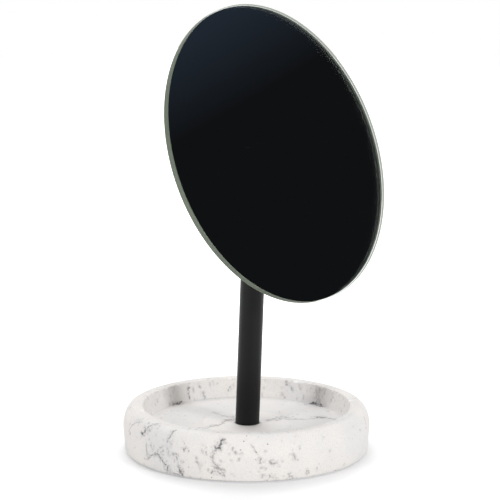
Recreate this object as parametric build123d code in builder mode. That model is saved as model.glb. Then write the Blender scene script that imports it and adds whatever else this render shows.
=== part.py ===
from build123d import *

import os
from math import cos, radians, sqrt, tan

# Free-standing vanity mirror: a round frameless mirror that tilts on a round post, which stands in a
# cast-stone tray.
#
# Millimetres and degrees. The origin lies on the table under the middle of the tray, and +Z is up. The
# mirror faces -Y, so the level axis it tilts about runs along X. Two planes carry the model: post_plane,
# whose normal is the post's slightly leaning axis, and mirror_plane, whose normal is the way the mirror
# faces. The mirror's layers are stacked from the tilt axis forwards, and the joint's pieces from the
# middle of the post outwards.

# ---- Tray of cast stone, on a foam pad
tray_radius = 83.2              # at its widest, under the rounded shoulder
tray_height = 31.0              # from the table to the rim
side_draft = 1.2                # how far the side draws in from its widest to its foot
foot_rounding = 1.0
shoulder_width = 7.4            # the rim's outer rounding, measured across the rim
shoulder_height = 13.3          # the same rounding, measured down the side
rim_width = 13.1                # from the opening to the widest point
rim_edge_rounding = 0.8
dish_depth = 13.3               # from the rim to the floor of the dish
wall_draft = 2.8                # how far the dish narrows from its opening to its floor
dish_corner_rounding = 1.5
pad_thickness = 1.0
pad_inset = 1.2                 # from the tray's foot in to the pad's edge

# ---- Post
post_diameter = 16.0
post_wall = 1.5
post_lean = 2.5                 # degrees off plumb, towards the mirror
pivot_height = 197.0            # from the table to the tilt axis, measured along the post
socket_depth = 3.0              # the post's seat in the floor of the dish
socket_clearance = 0.15

# ---- Bolt that pulls the post down on the stone
head_recess = 1.7               # from the tray's underside up to the bolt's head
bolt_diameter = 8.0
bolt_engagement = 12.0          # how far the bolt reaches into the insert
bolt_head_overhang = 3.0
bolt_head_height = 4.4
bolt_key = 5.0                  # across the flats of its hexagon socket
bolt_hole_clearance = 0.5
insert_length = 15.0
washer_overhang = 8.0           # from the bolt's side to the washer's edge
washer_thickness = 1.6
recess_clearance = 2.0          # round the washer

# ---- Tilt joint at the top of the post
pivot_diameter = 5.0
tongue_thickness = 7.0
tongue_wall = 3.2               # steel between the pivot's hole and the tongue's edge
tongue_rounding = 0.8           # where the tongue grows out of its collar
collar_height = 2.0
spigot_length = 16.0
plug_chamfer = 0.5              # lead-in of the plugs pressed into the tube
ear_wall = 4.5                  # steel between the pivot's hole and the ears' edge
ear_swing_gap = 3.0             # from the ears' rounded ends down to the collar
friction_washer_thickness = 0.8
friction_washer_width = 3.0     # from its hole to its edge
running_clearance = 0.05        # a pin that turns in a hole, on the radius
press_clearance = 0.05          # a plug, rivet or screw in its seat, on the radius

# ---- Sheet-steel bracket and its rivets
bracket_thickness = 2.0
bracket_bend = 1.0              # inside radius
bracket_height = 44.0
bracket_tab_rounding = 5.0
bracket_ear_rounding = 3.0      # where an ear runs into the web
rivet_spacing = 30.0
rivet_diameter = 4.0
rivet_head_overhang = 1.5
rivet_head_height = 1.6

# ---- Pivot screw with its spring and nut
screw_head_overhang = 2.25
screw_head_height = 2.75
screw_key = 3.0
screw_end = 1.0                 # how far the screw stands out of the nut
spring_thickness = 0.8
spring_cone = 0.4               # height of the disc spring's cone
spring_width = 2.4              # from its hole to its edge
nut_wall = 1.5                  # from the thread to the nut's flats
nut_height = 3.6                # the hexagon alone
nut_collar_height = 1.5
nut_collar_wall = 0.6
nut_ring_height = 1.0
nut_ring_width = 0.7

# ---- Mirror
mirror_diameter = 200.0
mirror_tilt = 20.2              # degrees that the mirror faces up at rest
pivot_to_plate = 16.4           # from the tilt axis to the plate's rear face
plate_diameter = 90.0
plate_thickness = 2.0
plate_edge_rounding = 0.6
tape_thickness = 1.0
tape_inset = 3.0                # from the plate's edge in to the tape's
backing_thickness = 0.3
glass_thickness = 4.0
glass_arris = 0.3               # polished chamfer round both faces
silver_margin = 0.3             # from the chamfer in to the silver's edge

# ---- Places that follow from the sizes
foot_radius = tray_radius - side_draft
opening_radius = tray_radius - rim_width
floor_radius = opening_radius - wall_draft
floor_height = tray_height - dish_depth
shoulder_start = tray_height - shoulder_height

post_radius = post_diameter / 2
bore_radius = post_radius - post_wall
plug_radius = bore_radius - press_clearance
socket_floor = floor_height - socket_depth
recess_ceiling = pad_thickness + head_recess + bolt_head_height + washer_thickness
stone_under_post = socket_floor - recess_ceiling
bolt_radius = bolt_diameter / 2
bolt_length = washer_thickness + stone_under_post + bolt_engagement
washer_radius = bolt_radius + washer_overhang

pivot_radius = pivot_diameter / 2
screw_hole = pivot_radius + press_clearance
tongue_radius = pivot_radius + tongue_wall
tongue_side = tongue_thickness / 2
tongue_ledge = 0.9 * (sqrt(post_radius**2 - tongue_radius**2) - tongue_side)
ear_radius = pivot_radius + ear_wall
ear_inside = tongue_side + friction_washer_thickness
ear_outside = ear_inside + bracket_thickness
collar_top = pivot_height - ear_radius - ear_swing_gap
collar_base = collar_top - collar_height
web_rear = pivot_to_plate - bracket_thickness
tab_rounding = min(bracket_tab_rounding, ear_outside - bracket_bend)
rivet_radius = rivet_diameter / 2
rivet_places = [(0, -rivet_spacing / 2), (0, rivet_spacing / 2)]
spring_height = spring_thickness + spring_cone
nut_radius = pivot_radius + nut_wall
nut_collar_bore = pivot_radius + nut_ring_width
nut_collar_radius = nut_collar_bore + nut_collar_wall
screw_length = 2 * ear_outside + spring_height + nut_height + nut_collar_height + screw_end

mirror_radius = mirror_diameter / 2
plate_radius = plate_diameter / 2
tape_seat = pivot_to_plate + plate_thickness
backing_seat = tape_seat + tape_thickness
glass_seat = backing_seat + backing_thickness

across = Vector(1, 0, 0)        # the tilt axis
post_plane = Plane.XY.rotated((post_lean, 0, 0))
post_axis = Axis(post_plane.origin, post_plane.z_dir)
pivot = post_plane.from_local_coords(Vector(0, 0, pivot_height))
pivot_axis = Axis(pivot, across)
facing = Plane.XY.rotated((90 - mirror_tilt, 0, 0)).z_dir
mirror_plane = Plane(origin=pivot, x_dir=across, z_dir=facing)

# The tilt axis is the normal of the next three. Their x runs up the post in the first, and up the mirror
# in the others, of which nut_side looks out to the end with the nut.
post_side = Plane(origin=pivot, x_dir=post_plane.z_dir, z_dir=across)
mirror_side = Plane(origin=pivot, x_dir=mirror_plane.y_dir, z_dir=across)
nut_side = Plane(origin=pivot, x_dir=mirror_plane.y_dir, z_dir=-across)

os.makedirs("parts", exist_ok=True)


def keep(piece, name):
    """Label a finished piece and write it as a file of its own."""
    piece.part.label = name
    export_step(piece.part, f"parts/{name}.step")
    print(f"{name}: {piece.part.volume / 1000:.2f} cm3")


def corner(section, x, y):
    """The corner of a section that lies at (x, y) of its own plane."""
    return section.vertices().sort_by_distance((x, y))[0]


def lengthwise(seat):
    """The plane through a seat's axis: x runs out from the axis, and y runs along it."""
    return Plane(origin=seat.origin, x_dir=seat.x_dir, z_dir=-seat.y_dir)


def along(seat):
    """The axis that stands square on a seat."""
    return Axis(seat.origin, seat.z_dir)


def ring(seat, outer, inner, thickness):
    """A plain washer that lies on a seat."""
    with BuildPart() as washer:
        with BuildSketch(seat):
            Circle(outer)
            Circle(inner, mode=Mode.SUBTRACT)
        extrude(amount=thickness)
    return washer


def disc(seat, radius, thickness):
    """A round plate that lies on a seat."""
    with BuildPart() as plate:
        with BuildSketch(seat):
            Circle(radius)
        extrude(amount=thickness)
    return plate


def domed_pin(seat, radius, length, head_overhang, head_height, point=0.0):
    """A pin that runs along a seat's normal, with a domed head behind the seat and a chamfered point."""
    with BuildPart() as pin:
        with BuildSketch(lengthwise(seat)):
            with BuildLine():
                dome = EllipticalCenterArc(
                    (0, 0), radius + head_overhang, head_height, start_angle=270, arc_size=90
                )
                Polyline(dome @ 1, (radius, 0), (radius, length), (0, length), dome @ 0)
            make_face()
        revolve(axis=along(seat))
        if point > 0:
            rim = seat.from_local_coords(Vector(radius, 0, length))
            chamfer(pin.edges().sort_by_distance(rim)[0], point)
    return pin


def button_head_screw(seat, radius, length, head_overhang, head_height, key):
    """A domed pin with a hexagon socket in its head."""
    pin = domed_pin(seat, radius, length, head_overhang, head_height, point=radius / 4)
    with BuildPart() as screw:
        add(pin.part)
        with BuildSketch(seat.offset(-head_height)):
            RegularPolygon(key / 2, 6, major_radius=False)
        extrude(amount=head_height / 2, mode=Mode.SUBTRACT)
    return screw


# ---------------------------------------------------------------------------------------- the stand

# The dish is one turned section: a drafted side, an elliptical shoulder, a flat rim and a drafted inner
# wall. The socket, the bolt's hole and its recess are drilled along the post's axis, so the post leans
# as they do.
with BuildPart() as tray:
    with BuildSketch(Plane.XZ) as tray_section:
        with BuildLine():
            shoulder_centre = (tray_radius - shoulder_width, shoulder_start)
            shoulder = EllipticalCenterArc(shoulder_centre, shoulder_width, shoulder_height, arc_size=90)
            Polyline(
                shoulder @ 1,
                (opening_radius, tray_height),
                (floor_radius, floor_height),
                (0, floor_height),
                (0, pad_thickness),
                (foot_radius, pad_thickness),
                shoulder @ 0,
            )
        make_face()
        fillet(corner(tray_section, foot_radius, pad_thickness), foot_rounding)
        fillet(corner(tray_section, opening_radius, tray_height), rim_edge_rounding)
        fillet(corner(tray_section, floor_radius, floor_height), dish_corner_rounding)
    revolve(axis=Axis.Z)
    with BuildSketch(post_plane.offset(socket_floor)):
        Circle(post_radius + socket_clearance)
    extrude(amount=dish_depth, mode=Mode.SUBTRACT)
    with BuildSketch(post_plane.offset(recess_ceiling)):
        Circle(bolt_radius + bolt_hole_clearance)
    extrude(amount=tray_height, mode=Mode.SUBTRACT)
    with BuildSketch(post_plane.offset(recess_ceiling)):
        Circle(washer_radius + recess_clearance)
    extrude(amount=-tray_height, mode=Mode.SUBTRACT)
keep(tray, "tray")

base_pad = disc(Plane.XY, foot_radius - pad_inset, pad_thickness)
keep(base_pad, "base_pad")

bolt_seat = post_plane.offset(recess_ceiling - washer_thickness)
base_washer = ring(bolt_seat, washer_radius, bolt_radius + bolt_hole_clearance, washer_thickness)
keep(base_washer, "base_washer")

base_bolt = button_head_screw(
    bolt_seat, bolt_radius, bolt_length, bolt_head_overhang, bolt_head_height, bolt_key
)
keep(base_bolt, "base_bolt")

with BuildPart() as post_foot_insert:
    with BuildSketch(post_plane.offset(socket_floor)):
        Circle(plug_radius)
        Circle(bolt_radius + press_clearance, mode=Mode.SUBTRACT)
    extrude(amount=insert_length)
    chamfer(post_foot_insert.edges().group_by(post_axis)[-1], plug_chamfer)
keep(post_foot_insert, "post_foot_insert")

post_length = collar_base - socket_floor
post_tube = ring(post_plane.offset(socket_floor), post_radius, bore_radius, post_length)
keep(post_tube, "post_tube")

# The head is turned, then milled: a spigot, a collar, and a flat tongue with a round end for the pivot.
with BuildPart() as post_head:
    with BuildSketch(post_plane.offset(collar_base)):
        Circle(plug_radius)
    extrude(amount=-spigot_length)
    with BuildSketch(post_plane.offset(collar_base)):
        Circle(post_radius)
    extrude(amount=collar_height)
    with BuildSketch(post_side):
        Circle(tongue_radius)
        with Locations(((collar_top - pivot_height) / 2, 0)):
            Rectangle(pivot_height - collar_top, 2 * tongue_radius)
    extrude(amount=tongue_side, both=True)
    crosswise = post_head.edges().filter_by(GeomType.LINE).filter_by(post_axis, reverse=True)
    tongue_roots = crosswise.group_by(post_axis)[0].sort_by(SortBy.LENGTH)[-2:]
    fillet(tongue_roots, min(tongue_rounding, tongue_ledge))
    chamfer(post_head.edges().group_by(post_axis)[0], plug_chamfer)
    with BuildSketch(post_side):
        Circle(pivot_radius + running_clearance)
    extrude(amount=tongue_thickness, both=True, mode=Mode.SUBTRACT)
keep(post_head, "post_head")

# ------------------------------------------------------------------------------------ the tilt joint

# The bracket starts as a folded strip. Its side view then leaves two ears on a web, and its front view
# rounds the ends of the web.
with BuildPart() as tilt_bracket:
    with BuildSketch(Plane(origin=pivot, x_dir=across, z_dir=mirror_plane.y_dir)) as fold:
        with Locations((0, (ear_radius - pivot_to_plate) / 2)):
            Rectangle(2 * ear_outside, ear_radius + pivot_to_plate)
        with Locations((0, (ear_radius - web_rear) / 2)):
            Rectangle(2 * ear_inside, ear_radius + web_rear, mode=Mode.SUBTRACT)
        outer_bends = [corner(fold, x, -pivot_to_plate) for x in (-ear_outside, ear_outside)]
        fillet(outer_bends, bracket_bend + bracket_thickness)
        inner_bends = [corner(fold, x, -web_rear) for x in (-ear_inside, ear_inside)]
        fillet(inner_bends, bracket_bend)
    extrude(amount=bracket_height / 2, both=True)
    with BuildSketch(mirror_side) as side_view:
        Circle(ear_radius)
        with Locations((0, pivot_to_plate / 2)):
            Rectangle(2 * ear_radius, pivot_to_plate)
        with Locations((0, pivot_to_plate - bracket_thickness / 2)):
            Rectangle(bracket_height, bracket_thickness)
        ear_roots = [corner(side_view, x, web_rear) for x in (-ear_radius, ear_radius)]
        fillet(ear_roots, bracket_ear_rounding)
    extrude(amount=2 * ear_outside, both=True, mode=Mode.INTERSECT)
    with BuildSketch(mirror_plane.offset(pivot_to_plate)):
        RectangleRounded(2 * ear_outside, bracket_height, tab_rounding)
    extrude(amount=-pivot_to_plate - ear_radius, mode=Mode.INTERSECT)
    with BuildSketch(mirror_side):
        Circle(screw_hole)
    extrude(amount=2 * ear_outside, both=True, mode=Mode.SUBTRACT)
    with BuildSketch(mirror_plane.offset(pivot_to_plate)):
        with Locations(*rivet_places):
            Circle(rivet_radius + press_clearance)
    extrude(amount=-bracket_thickness, mode=Mode.SUBTRACT)
keep(tilt_bracket, "tilt_bracket")

rivet_length = bracket_thickness + plate_thickness
with BuildPart() as bracket_rivets:
    for x, y in rivet_places:
        under_head = mirror_plane.from_local_coords(Vector(x, y, web_rear))
        rivet_seat = Plane(origin=under_head, x_dir=across, z_dir=facing)
        add(domed_pin(rivet_seat, rivet_radius, rivet_length, rivet_head_overhang, rivet_head_height).part)
keep(bracket_rivets, "bracket_rivets")

with BuildPart() as friction_washers:
    for side in (mirror_side, nut_side):
        washer_seat = side.offset(tongue_side)
        washer_rim = screw_hole + friction_washer_width
        add(ring(washer_seat, washer_rim, screw_hole, friction_washer_thickness).part)
keep(friction_washers, "friction_washers")

screw_seat = nut_side.offset(-ear_outside)
pivot_screw = button_head_screw(
    screw_seat, pivot_radius, screw_length, screw_head_overhang, screw_head_height, screw_key
)
keep(pivot_screw, "pivot_screw")

# The spring is a shallow cone: its rim bears on the ear, and its hole's edge on the nut.
spring_seat = nut_side.offset(ear_outside)
spring_rim = screw_hole + spring_width
with BuildPart() as disc_spring:
    with BuildSketch(lengthwise(spring_seat)):
        with BuildLine():
            Polyline(
                (spring_rim, 0),
                (spring_rim, spring_thickness),
                (screw_hole, spring_height),
                (screw_hole, spring_cone),
                close=True,
            )
        make_face()
    revolve(axis=pivot_axis)
keep(disc_spring, "disc_spring")

# A hexagon with turned corners, and a round collar that holds the nylon ring.
nut_seat = spring_seat.offset(spring_height)
nut_corner = nut_radius / cos(radians(30))
nut_corner_drop = (nut_corner - nut_radius) * tan(radians(30))
ring_seat = nut_seat.offset(nut_height)
with BuildPart() as lock_nut:
    with BuildSketch(nut_seat):
        RegularPolygon(nut_radius, 6, major_radius=False)
    extrude(amount=nut_height)
    with BuildSketch(lengthwise(nut_seat)):
        with BuildLine():
            Polyline(
                (0, 0),
                (nut_radius, 0),
                (nut_corner, nut_corner_drop),
                (nut_corner, nut_height - nut_corner_drop),
                (nut_radius, nut_height),
                (0, nut_height),
                close=True,
            )
        make_face()
    revolve(axis=pivot_axis, mode=Mode.INTERSECT)
    with BuildSketch(ring_seat):
        Circle(nut_collar_radius)
        Circle(nut_collar_bore, mode=Mode.SUBTRACT)
    extrude(amount=nut_collar_height)
    with BuildSketch(nut_seat):
        Circle(screw_hole)
    extrude(amount=nut_height, mode=Mode.SUBTRACT)
keep(lock_nut, "lock_nut")

nut_ring = ring(ring_seat, nut_collar_bore - press_clearance, screw_hole, nut_ring_height)
keep(nut_ring, "nut_ring")

# --------------------------------------------------------------------------------------- the mirror

with BuildPart() as back_plate:
    with BuildSketch(mirror_plane.offset(pivot_to_plate)):
        Circle(plate_radius)
        with Locations(*rivet_places):
            Circle(rivet_radius + press_clearance, mode=Mode.SUBTRACT)
    extrude(amount=plate_thickness)
    fillet(back_plate.edges().filter_by(GeomType.CIRCLE).sort_by(SortBy.RADIUS)[-2:], plate_edge_rounding)
keep(back_plate, "back_plate")

mounting_tape = disc(mirror_plane.offset(tape_seat), plate_radius - tape_inset, tape_thickness)
keep(mounting_tape, "mounting_tape")

silver_radius = mirror_radius - glass_arris - silver_margin
mirror_backing = disc(mirror_plane.offset(backing_seat), silver_radius, backing_thickness)
keep(mirror_backing, "mirror_backing")

with BuildPart() as mirror_glass:
    with BuildSketch(mirror_plane.offset(glass_seat)):
        Circle(mirror_radius)
    extrude(amount=glass_thickness)
    chamfer(mirror_glass.edges().filter_by(GeomType.CIRCLE), glass_arris)
keep(mirror_glass, "mirror_glass")
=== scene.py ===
# %% [markdown]
# # A round mirror on a post, in a cast-stone tray
#
# The object is a mirror for a dressing table: a round glass without a frame, tilted back on a slim black
# post, which stands in a thick off-white tray for rings and hairpins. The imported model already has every
# piece at its real size and place. This script gives the pieces their finishes, models the tray again with
# the pits and chips of real cast stone, and photographs the result on a white table.

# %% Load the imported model
import math

import bpy
import numpy as np
from mathutils import Matrix, Vector
from mathutils.kdtree import KDTree


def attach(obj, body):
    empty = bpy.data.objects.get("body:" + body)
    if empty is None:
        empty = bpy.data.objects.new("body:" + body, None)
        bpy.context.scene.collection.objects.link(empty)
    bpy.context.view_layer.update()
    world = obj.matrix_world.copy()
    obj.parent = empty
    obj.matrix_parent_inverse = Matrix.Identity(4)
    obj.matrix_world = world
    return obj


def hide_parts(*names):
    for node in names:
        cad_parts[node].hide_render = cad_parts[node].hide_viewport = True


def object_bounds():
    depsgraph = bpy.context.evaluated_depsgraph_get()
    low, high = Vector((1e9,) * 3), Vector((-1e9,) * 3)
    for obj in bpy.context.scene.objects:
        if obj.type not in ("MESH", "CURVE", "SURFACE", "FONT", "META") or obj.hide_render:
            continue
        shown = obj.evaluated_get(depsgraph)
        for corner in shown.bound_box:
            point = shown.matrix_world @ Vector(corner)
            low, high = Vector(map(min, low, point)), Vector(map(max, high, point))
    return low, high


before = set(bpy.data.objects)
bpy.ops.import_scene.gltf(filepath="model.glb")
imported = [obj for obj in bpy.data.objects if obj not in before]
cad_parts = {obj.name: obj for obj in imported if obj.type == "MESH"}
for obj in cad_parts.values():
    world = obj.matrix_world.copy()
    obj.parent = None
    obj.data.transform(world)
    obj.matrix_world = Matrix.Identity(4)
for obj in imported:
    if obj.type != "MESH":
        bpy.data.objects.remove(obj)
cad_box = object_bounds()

MM = 0.001
cad_size = (cad_box[1] - cad_box[0]) / MM
print("CAD nodes:", len(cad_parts), "- size in mm:", [round(side, 1) for side in cad_size])

# %% [markdown]
# ## Two helpers for materials
#
# A colour picked from a swatch is an sRGB value, but Blender's sockets take linear light, so every colour
# here is written as hex and goes through one function. Materials are made of nodes, and one small function
# adds a node with its settings and whatever feeds its sockets. Patterns get their scale from real sizes, so
# each material starts with the place on the object in millimetres: a noise whose scale is 1 / 28 then has
# lumps about 28 mm wide.

# %% Colour and node helpers
# A Mix node of colours has its factor at socket 0, its two colours at 6 and 7, and its result at output 2.
FACTOR, FIRST, SECOND, MIXED = 0, 6, 7, 2


def linear(swatch):
    """The linear colour, with alpha 1, of an sRGB hex swatch."""
    parts = [int(swatch[i:i + 2], 16) / 255 for i in (1, 3, 5)]
    return [p / 12.92 if p <= 0.04045 else ((p + 0.055) / 1.055) ** 2.4 for p in parts] + [1.0]


def add_node(tree, kind, sockets=None, **settings):
    """Add a node with its own settings, and give each named socket a value or another node's output."""
    node = tree.nodes.new("ShaderNode" + kind)
    for name, value in settings.items():
        setattr(node, name, value)
    for socket, value in (sockets or {}).items():
        if isinstance(value, bpy.types.NodeSocket):
            tree.links.new(value, node.inputs[socket])
        else:
            node.inputs[socket].default_value = value
    return node


def start_material(name, **numbers):
    """Start a material, and give it with its tree, its main shader and the place in millimetres."""
    material = bpy.data.materials.new(name)
    material.use_nodes = True
    tree = material.node_tree
    shader = tree.nodes["Principled BSDF"]
    for socket, value in numbers.items():
        shader.inputs[socket.replace("_", " ")].default_value = value
    place = add_node(tree, "TexCoord").outputs["Object"]
    millimetres = add_node(tree, "VectorMath", {0: place, "Scale": 1 / MM}, operation="SCALE").outputs[0]
    print("Material:", name)
    return material, tree, shader, millimetres


def link_finish(tree, shader, tone, roughness=None, relief=None):
    """Link a colour to the main shader, and a roughness and a relief where the finish has them."""
    tree.links.new(tone.outputs[MIXED], shader.inputs["Base Color"])
    if roughness:
        tree.links.new(roughness.outputs[0], shader.inputs["Roughness"])
    if relief:
        tree.links.new(relief.outputs[0], shader.inputs["Normal"])


print("A mid grey swatch is", round(linear("#808080")[0], 3), "in linear light")

# %% [markdown]
# ## The tray's outline
#
# The tray is cast in a round mould and ground, so its section can be turned like a pot's: a flat floor, a
# wall that leans out a little so that the casting leaves its mould, a flat rim, a broad rounded shoulder
# and a nearly upright side. Turning the section with a Screw modifier would be quick, but the pits need a
# dense and even grid of points, and two short functions give that: one rounds a corner of the section, and
# the other spaces the points.

# %% Sizes of the tray, in millimetres
tray_radius = 83.2
tray_height = 31.0
side_draft = 1.2
foot_rounding = 1.0
shoulder_width, shoulder_height = 7.4, 13.3
rim_width = 13.1
rim_edge_rounding = 0.8
dish_depth = 13.3
wall_draft = 2.8
dish_corner_rounding = 1.5
pad_thickness = 1.0

foot_radius = tray_radius - side_draft
opening_radius = tray_radius - rim_width
floor_radius = opening_radius - wall_draft
floor_height = tray_height - dish_depth
shoulder_start = tray_height - shoulder_height

post_lean = math.radians(2.5)
socket_radius, socket_floor = 8.15, 14.7
bolt_hole_radius = 4.5
recess_radius, recess_ceiling = 14.0, 8.7
print("Radius of the dish at its floor and its opening:", round(floor_radius, 1), round(opening_radius, 1))


# %% Rounding a corner and spacing the points
def rounded(before, corner, after, radius, steps):
    """Points of a rounding of that radius at a corner between two straight runs."""
    before, corner, after = (np.array(point, float) for point in (before, corner, after))
    back = (before - corner) / np.linalg.norm(before - corner)
    on = (after - corner) / np.linalg.norm(after - corner)
    half = math.acos(back @ on) / 2
    centre = corner + (back + on) / np.linalg.norm(back + on) * radius / math.sin(half)
    first = corner + back * radius / math.tan(half) - centre
    last = corner + on * radius / math.tan(half) - centre
    arc = math.pi - 2 * half
    turn = np.linspace(0, 1, steps + 1)[:, None]
    return centre + (np.sin((1 - turn) * arc) * first + np.sin(turn * arc) * last) / math.sin(arc)


def spaced(points, step):
    """The same outline with points added so that no two are further apart than step."""
    out = [points[0]]
    for a, b in zip(points, points[1:]):
        pieces = max(1, math.ceil(np.linalg.norm(b - a) / step))
        out += [a + (b - a) * k / pieces for k in range(1, pieces + 1)]
    return np.array(out)


print("A run of 2 mm in steps of 0.9 mm at most:", spaced(np.array([[0, 0], [2, 0]]), 0.9)[:, 0].round(2))

# %% The section of the tray
level_floor_radius = 30.0
dish_spacing, outside_spacing = 0.95, 0.85
shoulder_points = 23

middle, floor_edge = (0, floor_height), (floor_radius, floor_height)
opening, rim = (opening_radius, tray_height), (tray_radius - shoulder_width, tray_height)
side_top, foot = (tray_radius, shoulder_start), (foot_radius, pad_thickness)
quarter = np.radians(np.linspace(90, 0, shoulder_points))[:, None]
shoulder = np.array([rim[0], shoulder_start]) + np.hstack(
    [shoulder_width * np.cos(quarter), shoulder_height * np.sin(quarter)]
)
dish = np.vstack([
    [(level_floor_radius, floor_height)],
    rounded(middle, floor_edge, opening, dish_corner_rounding, 4),
    rounded(floor_edge, opening, rim, rim_edge_rounding, 3),
])
outside = np.vstack([shoulder, rounded(side_top, foot, middle, foot_rounding, 4)])
seen_section = np.vstack([spaced(dish, dish_spacing), spaced(outside, outside_spacing)])
print("Points in the tray's section:", len(seen_section))

# %% [markdown]
# ## Turning the tray
#
# The post leans 2.5 degrees, and its socket, the bolt's hole and the recess under the tray are drilled
# along it, so the rings near the middle are not level circles round the tray's own centre. Each ring is
# therefore made by one of two functions: turned round the tray, or drilled along the post and, where the
# drill breaks through a surface, cut level with it. The rings run from the socket out over the rim, under
# the tray and up through the bolt's hole, so the mesh closes on itself without a seam.

# %% Turned and drilled rings
around = 640
turn = np.linspace(0, 2 * math.pi, around, endpoint=False)
post_axis = np.array([0, -math.sin(post_lean), math.cos(post_lean)])
post_back = np.array([0, math.cos(post_lean), math.sin(post_lean)])


def turned(radius, height):
    """A level ring round the middle of the tray."""
    return np.stack([radius * np.cos(turn), radius * np.sin(turn), np.full(around, height)], 1)


def drilled(radius, along, level=None):
    """A ring round the post's axis, or that ring slid along the axis to one level."""
    across = np.outer(radius * np.cos(turn), [1, 0, 0]) + np.outer(radius * np.sin(turn), post_back)
    ring = across + along * post_axis
    if level is not None:
        ring += np.outer((level - ring[:, 2]) / post_axis[2], post_axis)
    return ring


def between(start, end, count):
    """Rings that fill the surface between two others."""
    return [start + (end - start) * k / (count + 1) for k in range(1, count + 1)]


print("Points in a ring:", len(turned(tray_radius, shoulder_start)))

# %% Rings of the tray
floor_rings, underside_rings = 17, 9

socket_edge = drilled(socket_radius, floor_height, level=floor_height)
recess_edge = drilled(recess_radius, pad_thickness, level=pad_thickness)
section_rings = [turned(radius, height) for radius, height in seen_section]
rings = [socket_edge, *between(socket_edge, section_rings[0], floor_rings), *section_rings]
rings += between(section_rings[-1], recess_edge, underside_rings) + [recess_edge]
for radius, along in ((recess_radius, recess_ceiling), (bolt_hole_radius, recess_ceiling),
                      (bolt_hole_radius, socket_floor), (socket_radius, socket_floor)):
    rings.append(drilled(radius, along))
grid = np.array(rings)
ring_count = len(grid)
print("Rings:", ring_count, "- points:", ring_count * around)

# %% [markdown]
# ## Pits, chips and an uneven edge
#
# Air trapped against the mould leaves pits in cast stone, and grinding the rim breaks small chips out of
# its sharp inner edge. Both are dents, so one function makes them: it takes a point of the surface, a
# radius and a depth, and finds the points near it, which will sink in a bowl shape. Displacing by a noise
# texture would be quicker but gives even dimples, while real pits come in all sizes. How deep a point lies
# in a pit, and how deep in a chip, is kept as two attributes, because they look different: a pit is
# darkened for the dust in it and with painted shade, and a chip shows fresh white stone. Last, the stone
# that shows gets slow waves of a tenth of a millimetre, so that no edge is quite straight.

# %% Normals and a search tree
random = np.random.default_rng(7)
steps_down = np.roll(grid, -1, 0) - np.roll(grid, 1, 0)
steps_round = np.roll(grid, -1, 1) - np.roll(grid, 1, 1)
normals = np.cross(steps_down, steps_round)
normals /= np.linalg.norm(normals, axis=2, keepdims=True)
points, normals = grid.reshape(-1, 3), normals.reshape(-1, 3)
cell_area = np.linalg.norm(np.cross(steps_round, steps_down), axis=2).ravel()

first_seen = 1 + floor_rings
last_seen = first_seen + len(seen_section)
seen = np.zeros(len(points))
seen[first_seen * around:last_seen * around] = 1
tree_of_points = KDTree(len(points))
for index, point in enumerate(points):
    tree_of_points.insert(point, index)
tree_of_points.balance()
print("Points that show:", int(seen.sum()))

# %% Bowls sunk into the surface
dent = np.zeros(len(points))
mostly_small = 2.2


def press(centre, radius, depth, tall=1.0):
    """Sink a bowl into the surface. A tall one is stretched upwards, like a bubble that rose in the mould."""
    found = tree_of_points.find_range(centre, radius * tall)
    near = np.array([index for _, index, _ in found])
    away = points[near] - centre
    away[:, 2] /= tall
    share = 1 - np.minimum(np.linalg.norm(away, axis=1) / radius, 1) ** 2
    dent[near] = np.maximum(dent[near], depth * share)


def scatter(number, radii, depths, chance, tall=1.0):
    """Press many bowls at points drawn by chance, with sizes between the two radii, most of them small."""
    print("Bowls:", number, "- radii in mm:", radii, "- depths in mm:", depths)
    for index in random.choice(len(points), number, p=chance / chance.sum()):
        size = random.random() ** mostly_small
        radius = radii[0] + (radii[1] - radii[0]) * size
        press(points[index], radius, depths[0] + (depths[1] - depths[0]) * size, tall)


# %% Where on the tray a point lies
heights, radii_out = points[:, 2], np.hypot(points[:, 0], points[:, 1])
angles = np.arctan2(points[:, 1], points[:, 0])
wall_margin, opening_reach, steepness = 0.5, 1.4, 1.3
on_wall = (radii_out < opening_radius + wall_margin) & (radii_out > floor_radius - wall_margin)
at_opening = np.abs(radii_out - opening_radius) + np.abs(heights - tray_height) < opening_reach


def towards(angle, width):
    """1 on the side of the tray at that angle, falling to 0 at that width to either side, in degrees."""
    off = np.abs((angles - math.radians(angle) + math.pi) % (2 * math.pi) - math.pi)
    return np.clip(steepness - steepness * off / math.radians(width), 0, 1)


print("Points on the dish's wall:", int(on_wall.sum()), "- at its opening:", int(at_opening.sum()))

# %% Pits, chips and slow waves
plain_side, plain_width, plainness = -70, 60, 0.8
chipped_side, chipped_width = -85, 50
wave_count, wave_height, wave_turn, full_turn = 14, 0.12, 0.09, 6.28

often = 1 - plainness * towards(plain_side, plain_width)
chipped = at_opening * towards(chipped_side, chipped_width)
scatter(560, radii=(0.75, 1.5), depths=(0.2, 0.75), chance=seen * cell_area * often)
scatter(150, radii=(0.8, 1.3), depths=(0.3, 0.7), chance=seen * cell_area * on_wall, tall=2.4)
pit = dent.copy()
dent[:] = 0
scatter(90, radii=(0.8, 1.8), depths=(0.2, 0.8), chance=seen * at_opening)
scatter(60, radii=(0.7, 1.8), depths=(0.25, 0.9), chance=seen * chipped)
chip = dent.copy()
dent = np.maximum(pit, chip)
waves = sum(
    np.sin(points @ random.normal(0, wave_turn, 3) + random.uniform(0, full_turn)) for _ in range(wave_count)
) / wave_count
points = points - normals * (dent + wave_height * waves * seen)[:, None]
print("Deepest dent, mm:", round(float(dent.max()), 2), "- points in dents:", int((dent > 0.05).sum()))
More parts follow.
